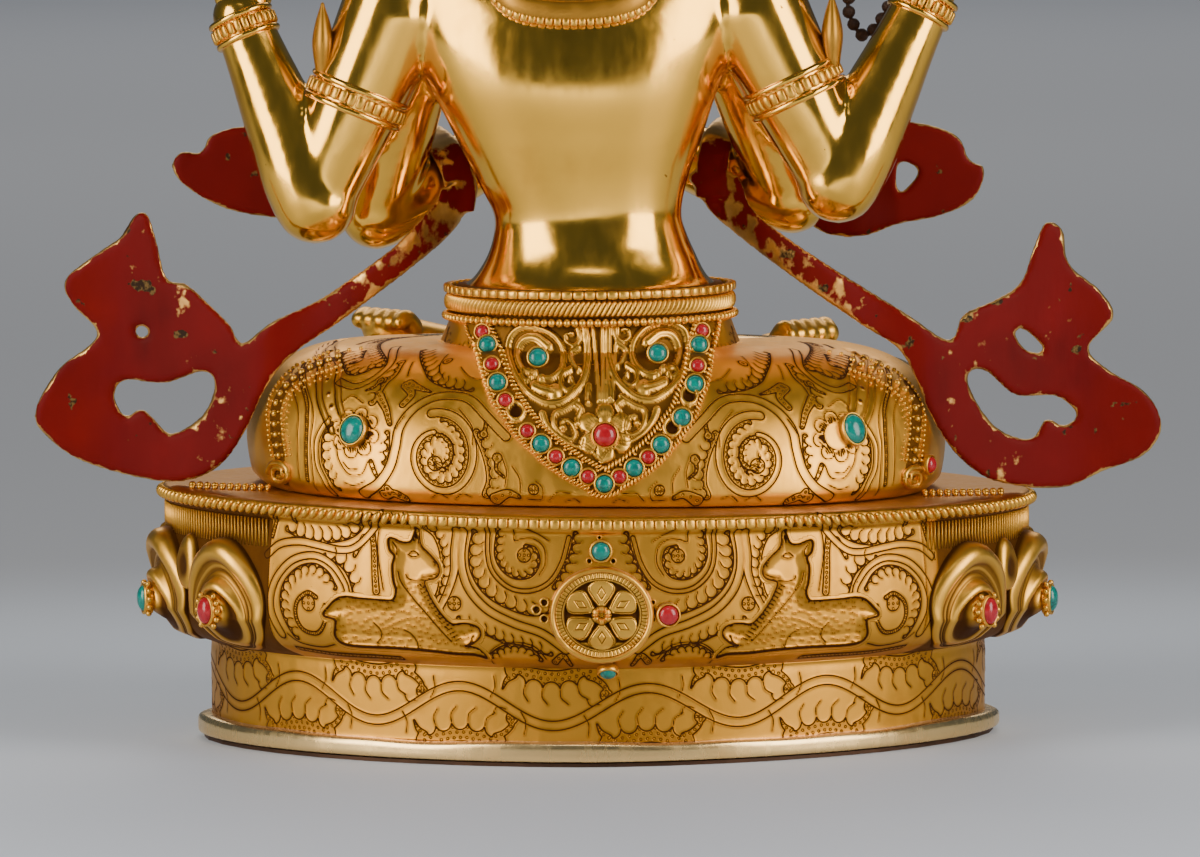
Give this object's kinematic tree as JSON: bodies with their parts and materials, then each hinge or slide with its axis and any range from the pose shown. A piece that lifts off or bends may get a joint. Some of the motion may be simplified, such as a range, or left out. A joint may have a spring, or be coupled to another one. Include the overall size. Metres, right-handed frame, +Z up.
{
  "type": "avalokiteshvara statue",
  "caption": "Seated many-armed bodhisattva of gilt cast copper with painted scarves and set stones on a lotus throne; stands on its flat underside as an altar or shelf figure.",
  "frame": {"origin": "centre of the flat underside of the throne", "axes": "+Z up, the statue faces -Y, and its own left hand is on the +X side"},
  "size_m": [0.2808, 0.1661, 0.2901],
  "materials": {
    "gilt_copper": "fire-gilt, polished on the body, engraved and darkened in the hollows of robe and throne",
    "bare_copper": "dull brown copper sheet",
    "red_paint": "brushed matt red on the back, gilt on the rims, chipped down to dark metal",
    "turquoise": "polished cabochon with dark veins",
    "coral": "polished cabochon",
    "seed_beads": "dark rough seeds"
  },
  "bodies": {
    "root": {"throne": "gilt_copper", "base_plate": "bare_copper", "figure": "gilt_copper", "scarf_left": "red_paint", "scarf_right": "red_paint", "lotus": "gilt_copper", "rosary": "seed_beads", "apron_coral_01": "coral", "apron_turquoise_02": "turquoise", "apron_coral_03": "coral", "apron_turquoise_04": "turquoise", "apron_coral_05": "coral", "apron_coral_07": "coral", "apron_turquoise_08": "turquoise", "apron_coral_09": "coral", "apron_turquoise_10": "turquoise", "apron_coral_11": "coral", "apron_turquoise_12": "turquoise", "apron_coral_13": "coral", "apron_turquoise_14": "turquoise", "apron_coral_15": "coral", "apron_turquoise_16": "turquoise", "apron_turquoise_18": "turquoise", "apron_turquoise_20": "turquoise", "apron_coral_21": "coral", "apron_turquoise_22": "turquoise", "apron_coral_23": "coral", "apron_scroll_turquoise_left": "turquoise", "apron_scroll_turquoise_right": "turquoise", "apron_flower_coral": "coral", "thigh_turquoise_left": "turquoise", "thigh_turquoise_right": "turquoise", "hem_coral_right": "coral", "wheel_turquoise_top": "turquoise", "wheel_coral_right": "coral", "wheel_turquoise_bottom": "turquoise", "petal_coral_01": "coral", "petal_turquoise_02": "turquoise", "petal_coral_03": "coral", "petal_turquoise_04": "turquoise", "petal_coral_05": "coral", "petal_turquoise_06": "turquoise", "petal_coral_07": "coral", "petal_turquoise_08": "turquoise", "petal_coral_09": "coral", "petal_turquoise_10": "turquoise", "petal_coral_11": "coral", "petal_turquoise_12": "turquoise", "petal_coral_13": "coral", "crown_coral_1": "coral", "crown_turquoise_2": "turquoise", "crown_coral_3": "coral", "crown_turquoise_4": "turquoise", "crown_coral_5": "coral"}
  },
  "joints": []
}
